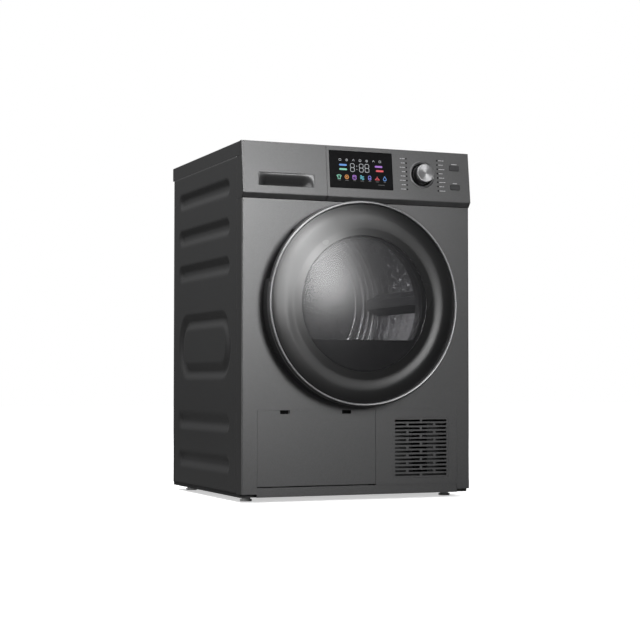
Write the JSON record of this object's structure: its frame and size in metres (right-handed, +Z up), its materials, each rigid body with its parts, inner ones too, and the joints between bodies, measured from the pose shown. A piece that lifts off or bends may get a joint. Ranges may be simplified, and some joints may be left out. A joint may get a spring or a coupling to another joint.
{
  "type": "clothes dryer",
  "caption": "Front-loading heat-pump clothes dryer with a round side-hinged door, a turning drum, a pull-out water tank, a control knob, push buttons and a drop-down service flap.",
  "frame": {"origin": "on the floor, at the bottom centre of the bounding box", "axes": "+Z up, -Y towards the user's side (the door), +X to the right seen from the front"},
  "size_m": [0.598, 0.591, 0.85],
  "materials": {
    "painted_steel": "satin metallic dark grey",
    "galvanised_steel": "galvanised",
    "felt": "felt",
    "black_plastic": "matte",
    "gloss_black": "high gloss",
    "chrome_trim": "dark chrome",
    "brushed_metal": "brushed",
    "smoked_glass": "smoked",
    "clear_glass": "clear",
    "display_black": "high gloss",
    "lens_dark": "gloss",
    "button_black": "satin",
    "drum_steel": "satin",
    "grey_plastic": "matte",
    "clear_plastic": "translucent",
    "foot_plastic": "matte light grey",
    "rubber": "matte",
    "steel_parts": "zinc plated",
    "cast_black": "black paint",
    "copper": "copper tube",
    "aluminium_fins": "mill",
    "circuit_green": "board"
  },
  "bodies": {
    "cabinet": {"base_pan": "black_plastic", "blower_housing": "black_plastic", "cabinet_screws": "steel_parts", "compressor": "cast_black", "control_board": "circuit_green", "control_console": "painted_steel", "cross_members": "galvanised_steel", "display_glass": "display_black", "door_strike": "black_plastic", "drain_pump": "black_plastic", "drive_belt": "rubber", "drive_motor": "cast_black", "drum_seals": "felt", "exchanger_coils": "aluminium_fins", "exchanger_cover": "black_plastic", "exchanger_housing": "black_plastic", "front_bulkhead": "black_plastic", "front_panel": "painted_steel", "hinge_bracket": "steel_parts", "indicator_lenses": "lens_dark", "knob_bezel": "chrome_trim", "left_side_panel": "painted_steel", "lint_filter": "grey_plastic", "lower_trim": "painted_steel", "rear_bulkhead": "galvanised_steel", "rear_fittings": "black_plastic", "rear_panel": "galvanised_steel", "refrigerant_pipes": "copper", "right_side_panel": "painted_steel", "tank_guide": "black_plastic", "top_cover": "painted_steel", "vent_grille": "painted_steel"},
    "door": {"door_frame": "black_plastic", "door_chrome_ring": "chrome_trim", "door_trim_ring": "gloss_black", "door_window": "smoked_glass", "door_inner_frame": "black_plastic", "door_bowl": "clear_glass", "door_seal": "rubber", "door_hinge_arm": "steel_parts", "door_latch_hook": "steel_parts"},
    "drum": {"drum_shell": "drum_steel", "drum_back": "drum_steel", "drum_lifters": "grey_plastic"},
    "left_roller": {"drum_roller_left": "grey_plastic"},
    "right_roller": {"drum_roller_right": "grey_plastic"},
    "rotor": {"motor_rotor": "steel_parts", "blower_wheel": "grey_plastic"},
    "tension_arm": {"idler_arm": "steel_parts"},
    "tension_wheel": {"idler_pulley": "grey_plastic"},
    "tank_drawer": {"drawer_front": "painted_steel", "water_tank": "clear_plastic"},
    "knob": {"program_knob": "brushed_metal"},
    "upper_key": {"upper_button": "button_black"},
    "lower_key": {"lower_button": "button_black"},
    "flap": {"service_flap": "painted_steel"},
    "foot_front_left": {"levelling_foot_front_left": "foot_plastic"},
    "foot_front_right": {"levelling_foot_front_right": "foot_plastic"},
    "foot_rear_left": {"levelling_foot_rear_left": "foot_plastic"},
    "foot_rear_right": {"levelling_foot_rear_right": "foot_plastic"}
  },
  "joints": [
    {"name": "door_hinge", "type": "hinge", "parent": "cabinet", "child": "door", "pos_m": [0.228, -0.2755, 0.469], "axis": [0, 0, 1], "range_deg": [0, 145]},
    {"name": "drum_spin", "type": "hinge", "parent": "cabinet", "child": "drum", "pos_m": [0, 0, 0.492], "axis": [0, 1, 0], "continuous": true},
    {"name": "left_roller_spin", "type": "hinge", "parent": "cabinet", "child": "left_roller", "pos_m": [-0.19303, 0, 0.26196], "axis": [0, 1, 0], "continuous": true},
    {"name": "right_roller_spin", "type": "hinge", "parent": "cabinet", "child": "right_roller", "pos_m": [0.19303, 0, 0.26196], "axis": [0, 1, 0], "continuous": true},
    {"name": "motor_spin", "type": "hinge", "parent": "cabinet", "child": "rotor", "pos_m": [0.17, 0, 0.15], "axis": [0, 1, 0], "continuous": true},
    {"name": "belt_tension", "type": "hinge", "parent": "cabinet", "child": "tension_arm", "pos_m": [0.17235, 0, 0.1154], "axis": [0, -1, 0], "range_deg": [0, 8], "stiffness_Nm_per_rad": 8, "springref_deg": -17.19},
    {"name": "tension_wheel_spin", "type": "hinge", "parent": "tension_arm", "child": "tension_wheel", "pos_m": [0.09365, 0, 0.14476], "axis": [0, 1, 0], "continuous": true},
    {"name": "tank_slide", "type": "slide", "parent": "cabinet", "child": "tank_drawer", "axis": [0, -1, 0], "range_m": [0, 0.42]},
    {"name": "knob_turn", "type": "hinge", "parent": "cabinet", "child": "knob", "pos_m": [0.1687, -0.25253, 0.79032], "axis": [0, -0.9941, 0.1088], "continuous": true},
    {"name": "upper_key_press", "type": "slide", "parent": "cabinet", "child": "upper_key", "axis": [0, 0.9941, -0.1088], "range_m": [0, 0.0012], "stiffness_N_per_m": 500, "springref_m": -0.001},
    {"name": "lower_key_press", "type": "slide", "parent": "cabinet", "child": "lower_key", "axis": [0, 0.9941, -0.1088], "range_m": [0, 0.0012], "stiffness_N_per_m": 500, "springref_m": -0.001},
    {"name": "flap_hinge", "type": "hinge", "parent": "cabinet", "child": "flap", "pos_m": [0, -0.2443, 0.042], "axis": [1, 0, 0], "range_deg": [0, 88]},
    {"name": "front_left_foot_screw", "type": "slide", "parent": "cabinet", "child": "foot_front_left", "axis": [0, 0, -1], "range_m": [0, 0.012]},
    {"name": "front_right_foot_screw", "type": "slide", "parent": "cabinet", "child": "foot_front_right", "axis": [0, 0, -1], "range_m": [0, 0.012]},
    {"name": "rear_left_foot_screw", "type": "slide", "parent": "cabinet", "child": "foot_rear_left", "axis": [0, 0, -1], "range_m": [0, 0.012]},
    {"name": "rear_right_foot_screw", "type": "slide", "parent": "cabinet", "child": "foot_rear_right", "axis": [0, 0, -1], "range_m": [0, 0.012]}
  ],
  "couplings": [
    {"joint": "left_roller_spin", "follows": "drum_spin", "ratio": -9.7143},
    {"joint": "right_roller_spin", "follows": "drum_spin", "ratio": -9.7143},
    {"joint": "motor_spin", "follows": "drum_spin", "ratio": 24.727},
    {"joint": "tension_wheel_spin", "follows": "drum_spin", "ratio": -15.111}
  ]
}
